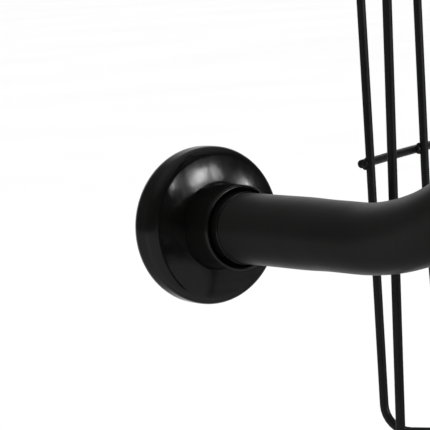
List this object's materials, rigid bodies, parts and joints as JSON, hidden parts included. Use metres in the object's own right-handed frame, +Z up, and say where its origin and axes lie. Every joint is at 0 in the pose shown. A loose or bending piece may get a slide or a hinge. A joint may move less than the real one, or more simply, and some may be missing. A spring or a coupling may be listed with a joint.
{
  "type": "mug tree",
  "caption": "Free-standing black mug tree: bent tube arms with ball end caps on a mast with a weighted round base, and a lift-off wire basket.",
  "frame": {"origin": "centre of the base pad's underside, on the mast axis", "axes": "+Z up along the mast, +Y towards the basket, X along the basket's front panel"},
  "size_m": [0.1932, 0.2485, 0.384],
  "materials": {
    "black_powder_coat": "satin powder coat",
    "black_wire": "semi-gloss coated wire",
    "gloss_black_plastic": "glossy moulded",
    "cast_iron": "raw casting",
    "zinc_steel": "zinc plated",
    "rubber": "matte"
  },
  "bodies": {
    "stand": {"base_cover": "black_powder_coat", "base_weight": "cast_iron", "base_pad": "rubber", "base_bolt": "zinc_steel", "base_washer": "zinc_steel", "mast_lower_tube": "black_powder_coat", "mast_upper_tube": "black_powder_coat", "mast_foot_plug": "zinc_steel", "mast_joint_plug_lower": "zinc_steel", "mast_joint_plug_upper": "zinc_steel", "mast_joint_stud": "zinc_steel", "mast_finial": "gloss_black_plastic", "lower_hub": "black_powder_coat", "upper_hub": "black_powder_coat", "lower_hub_screw": "zinc_steel", "upper_hub_screw": "zinc_steel", "arm_lower_left": "black_powder_coat", "arm_lower_right": "black_powder_coat", "arm_upper_1": "black_powder_coat", "arm_upper_2": "black_powder_coat", "arm_upper_3": "black_powder_coat", "arm_upper_4": "black_powder_coat", "cap_lower_left": "gloss_black_plastic", "cap_lower_right": "gloss_black_plastic", "cap_upper_1": "gloss_black_plastic", "cap_upper_2": "gloss_black_plastic", "cap_upper_3": "gloss_black_plastic", "cap_upper_4": "gloss_black_plastic", "basket_bracket": "black_powder_coat", "bracket_screws": "zinc_steel", "basket_spacer": "black_powder_coat", "spacer_screw": "zinc_steel"},
    "basket": {"basket_rim": "black_wire", "side_rail_left": "black_wire", "side_rail_right": "black_wire", "side_wire_1": "black_wire", "side_wire_2": "black_wire", "front_wire_1": "black_wire", "front_wire_2": "black_wire", "front_wire_3": "black_wire", "front_wire_4": "black_wire", "front_wire_5": "black_wire", "front_wire_6": "black_wire", "front_wire_7": "black_wire"}
  },
  "joints": [
    {"name": "basket_lift", "type": "slide", "parent": "stand", "child": "basket", "axis": [0, 0, 1], "range_m": [0, 0.02]}
  ]
}
